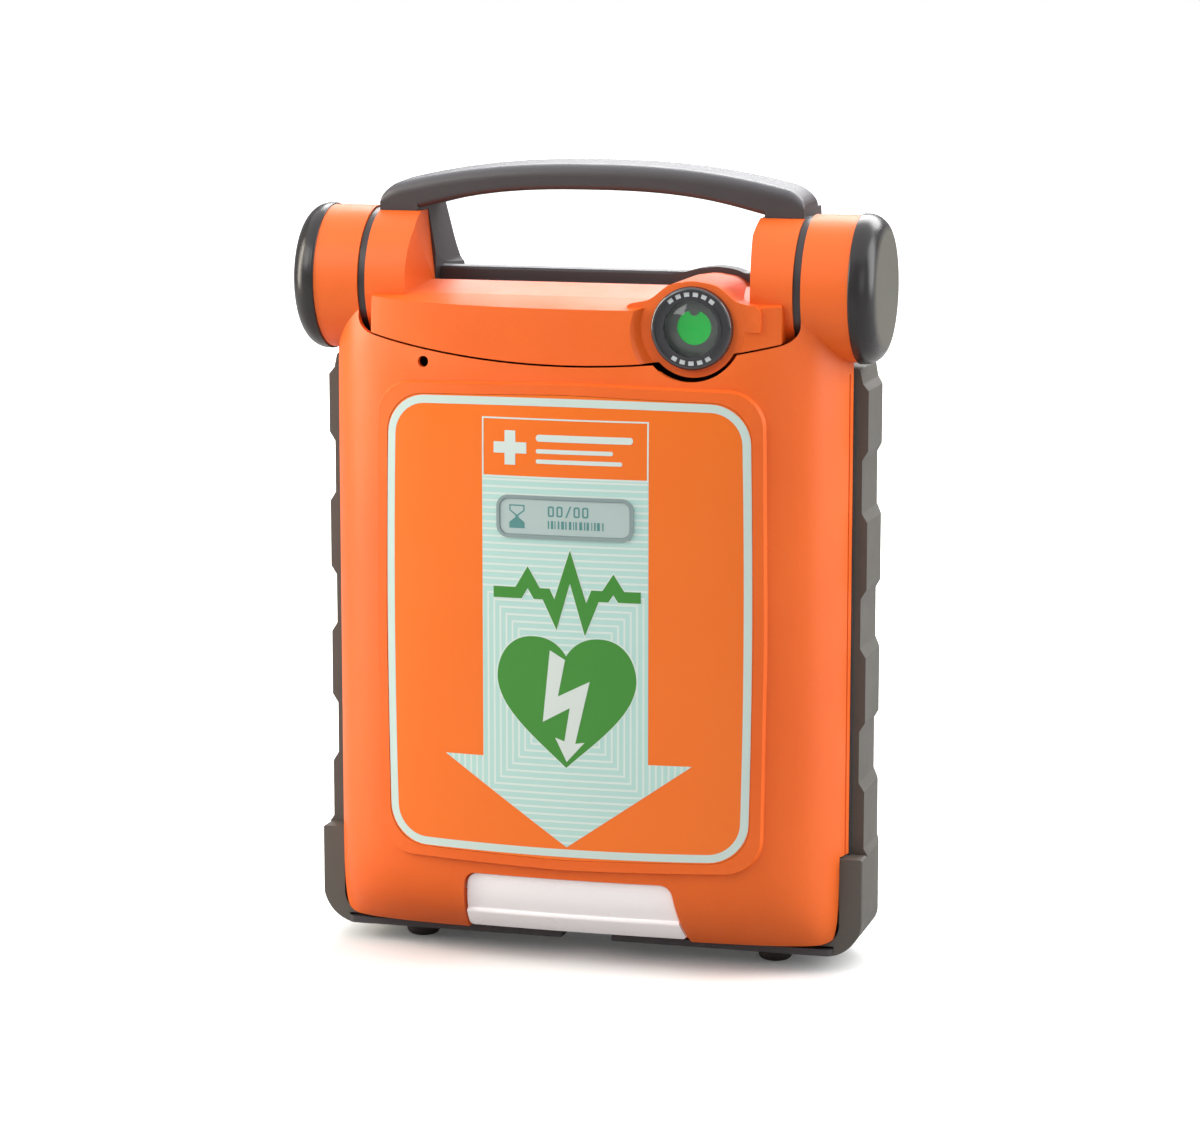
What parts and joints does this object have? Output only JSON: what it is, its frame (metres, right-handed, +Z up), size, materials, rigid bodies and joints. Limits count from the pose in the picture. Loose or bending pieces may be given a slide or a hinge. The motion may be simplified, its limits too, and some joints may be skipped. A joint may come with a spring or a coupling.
{
  "type": "defibrillator",
  "caption": "Portable defibrillator standing upright: hinged orange lid with a raised graphic panel, carry handle, round hinge barrels, status indicator, side bumpers and a pull latch.",
  "frame": {"origin": "bottom centre of the bounding box, on the plane the feet rest on; y = 0 is also the lid hinge axis", "axes": "+Z up, +X to the right seen from the front, the front face looks towards -Y"},
  "size_m": [0.225, 0.0887, 0.3045],
  "materials": {
    "orange_plastic": "fine-grained moulded polymer, satin",
    "dark_plastic": "textured dark grey moulding",
    "bumper_rubber": "soft overmoulded rubber",
    "cap_rubber": "soft rubber cap",
    "foot_rubber": "black rubber",
    "steel": "ground steel",
    "ring_plastic": "dark low-friction polymer",
    "bronze_bush": "sintered bronze",
    "seal_rubber": "sealing rubber",
    "screw_steel": "zinc plated",
    "clear_lens": "clear moulded window",
    "screen": "display module",
    "speaker_black": "speaker frame and cone",
    "plug_white": "pale moulded plug and lead",
    "socket_grey": "moulded housing",
    "pouch_foil": "sealed foil pouch",
    "pad_foam": "electrode pads on a release sheet",
    "cell_can": "cell cans",
    "board_green": "solder mask over laminate",
    "capacitor_sleeve": "sleeved can",
    "ferrite": "ferrite core and winding",
    "glass_tube": "sealed glass tube",
    "plate_silver": "blank satin plate",
    "bezel_black": "glossy dark ring",
    "mask_dark": "matt mask",
    "coil_copper": "wound coil",
    "flag_green": "green status flag",
    "liner_grey": "formed inner liner",
    "panel_orange": "printed film panel",
    "date_grey": "pale window frame",
    "magnet": "nickel-plated magnet",
    "latch_silver": "pale silver moulding",
    "shock_orange": "translucent button",
    "language_blue": "round button",
    "battery_plastic": "battery housing",
    "battery_latch_orange": "release slider"
  },
  "bodies": {
    "case": {"rear_case": "dark_plastic", "carry_handle": "dark_plastic", "top_cover": "orange_plastic", "control_deck": "dark_plastic", "side_bumper_left": "bumper_rubber", "side_bumper_right": "bumper_rubber", "feet": "foot_rubber", "back_pads": "foot_rubber", "hinge_pins": "steel", "hinge_rings": "ring_plastic", "latch_catch": "steel", "case_seal": "seal_rubber", "deck_screws": "screw_steel", "lcd_window": "clear_lens", "lcd_display": "screen", "speaker": "speaker_black", "pads_socket": "socket_grey", "pads_plug": "plug_white", "pads_pouch": "pouch_foil", "electrode_pads": "pad_foam", "pads_cable": "plug_white", "main_board": "board_green", "board_screws": "screw_steel", "tact_switches": "socket_grey", "capacitor": "capacitor_sleeve", "transformer": "ferrite", "relay": "socket_grey", "reed_switch": "glass_tube", "battery_contacts": "socket_grey", "rating_plate": "plate_silver", "indicator_bezel": "bezel_black", "indicator_lens": "clear_lens", "indicator_mask": "mask_dark", "indicator_coil": "coil_copper", "case_screws": "screw_steel", "handle_screws": "screw_steel"},
    "lid": {"lid_shell": "orange_plastic", "lid_liner": "liner_grey", "graphic_panel": "panel_orange", "date_window": "date_grey", "hinge_bushes": "bronze_bush", "end_cap_left": "cap_rubber", "end_cap_right": "cap_rubber", "lid_magnet": "magnet", "latch_pin": "steel"},
    "latch": {"latch_handle": "latch_silver"},
    "shock_button": {"shock_button": "shock_orange"},
    "language_button": {"language_button": "language_blue"},
    "status_flag": {"indicator_flag": "flag_green"},
    "battery": {"battery_pack": "battery_plastic", "battery_cells": "cell_can"},
    "battery_latch": {"battery_latch": "battery_latch_orange"}
  },
  "joints": [
    {"name": "lid_hinge", "type": "hinge", "parent": "case", "child": "lid", "pos_m": [0, 0, 0.259], "axis": [-1, 0, 0], "range_deg": [0, 110]},
    {"name": "latch_pivot", "type": "hinge", "parent": "lid", "child": "latch", "pos_m": [0, -0.0338, 0.0306], "axis": [-1, 0, 0], "range_deg": [0, 7.5]},
    {"name": "shock_press", "type": "slide", "parent": "case", "child": "shock_button", "axis": [0, 1, 0], "range_m": [0, 0.002]},
    {"name": "language_press", "type": "slide", "parent": "case", "child": "language_button", "axis": [0, 1, 0], "range_m": [0, 0.0015]},
    {"name": "status_turn", "type": "hinge", "parent": "case", "child": "status_flag", "pos_m": [0.0465, -0.0289, 0.2462], "axis": [0, -1, 0], "range_deg": [0, 90]},
    {"name": "battery_slide", "type": "slide", "parent": "case", "child": "battery", "axis": [0, 1, 0], "range_m": [0, 0.036]},
    {"name": "battery_latch_slide", "type": "slide", "parent": "battery", "child": "battery_latch", "axis": [0, 0, 1], "range_m": [0, 0.0025]}
  ]
}
